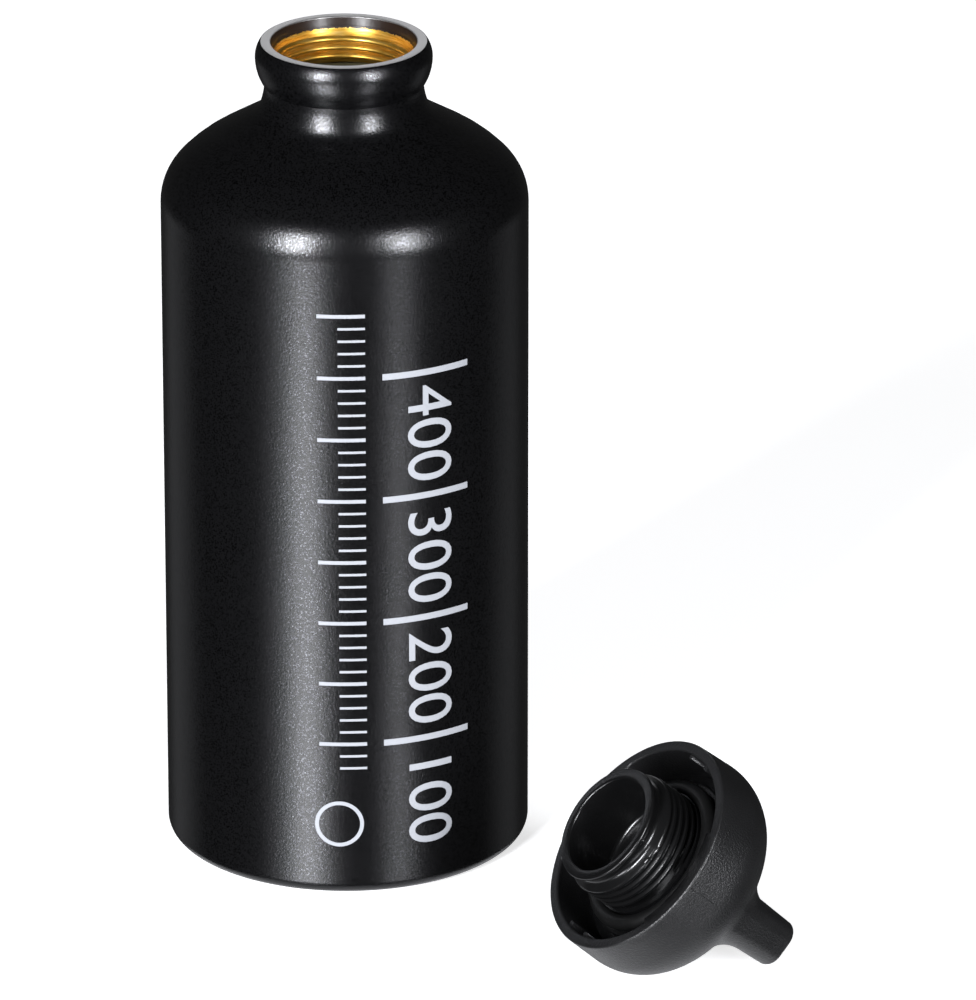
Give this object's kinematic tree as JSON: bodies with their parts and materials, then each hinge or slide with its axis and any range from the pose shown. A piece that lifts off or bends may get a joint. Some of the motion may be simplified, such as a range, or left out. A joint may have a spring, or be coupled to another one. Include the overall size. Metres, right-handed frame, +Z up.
{
  "type": "camping fuel bottle with screw cap",
  "caption": "Squat round aluminium fuel bottle with a beaded, threaded mouth, its push-and-turn screw cap with one finger fin lying beside it.",
  "frame": {"origin": "centre of the bottle's standing ring, in the plane that the bottle stands on", "axes": "+Z up along the bottle's axis; the cap lies on the same plane towards +X and -Y, with its handle to +X and its open side to -X"},
  "size_m": [0.125, 0.1266, 0.1682],
  "materials": {
    "bottle_coat": "satin powder coat over aluminium",
    "ring_lacquer": "gold lacquer",
    "cap_plastic": "satin moulded",
    "seal_rubber": "smooth",
    "spring_steel": "rolled",
    "bell_plastic": "satin moulded"
  },
  "bodies": {
    "bottle": {"bottle_shell": "bottle_coat", "thread_ring": "ring_lacquer"},
    "cap_plug": {"plug": "cap_plastic", "seal_ring": "seal_rubber"},
    "cap_spring": {"spring_washer": "spring_steel"},
    "cap_bell": {"bell": "bell_plastic"}
  },
  "joints": [
    {"name": "cap_lift", "type": "slide", "parent": "bottle", "child": "cap_plug", "axis": [0, 0, 1], "range_m": [0, 0.25]},
    {"name": "bell_push", "type": "slide", "parent": "cap_plug", "child": "cap_spring", "axis": [-0.6804, -0.3318, 0.6534], "range_m": [0, 0.0012], "stiffness_N_per_m": 1500, "springref_m": -0.0004, "deforming": ["spring_washer"]},
    {"name": "bell_turn", "type": "hinge", "parent": "cap_spring", "child": "cap_bell", "pos_m": [0.0573, -0.06865, 0.02581], "axis": [0.6804, 0.3318, -0.6534], "continuous": true}
  ]
}
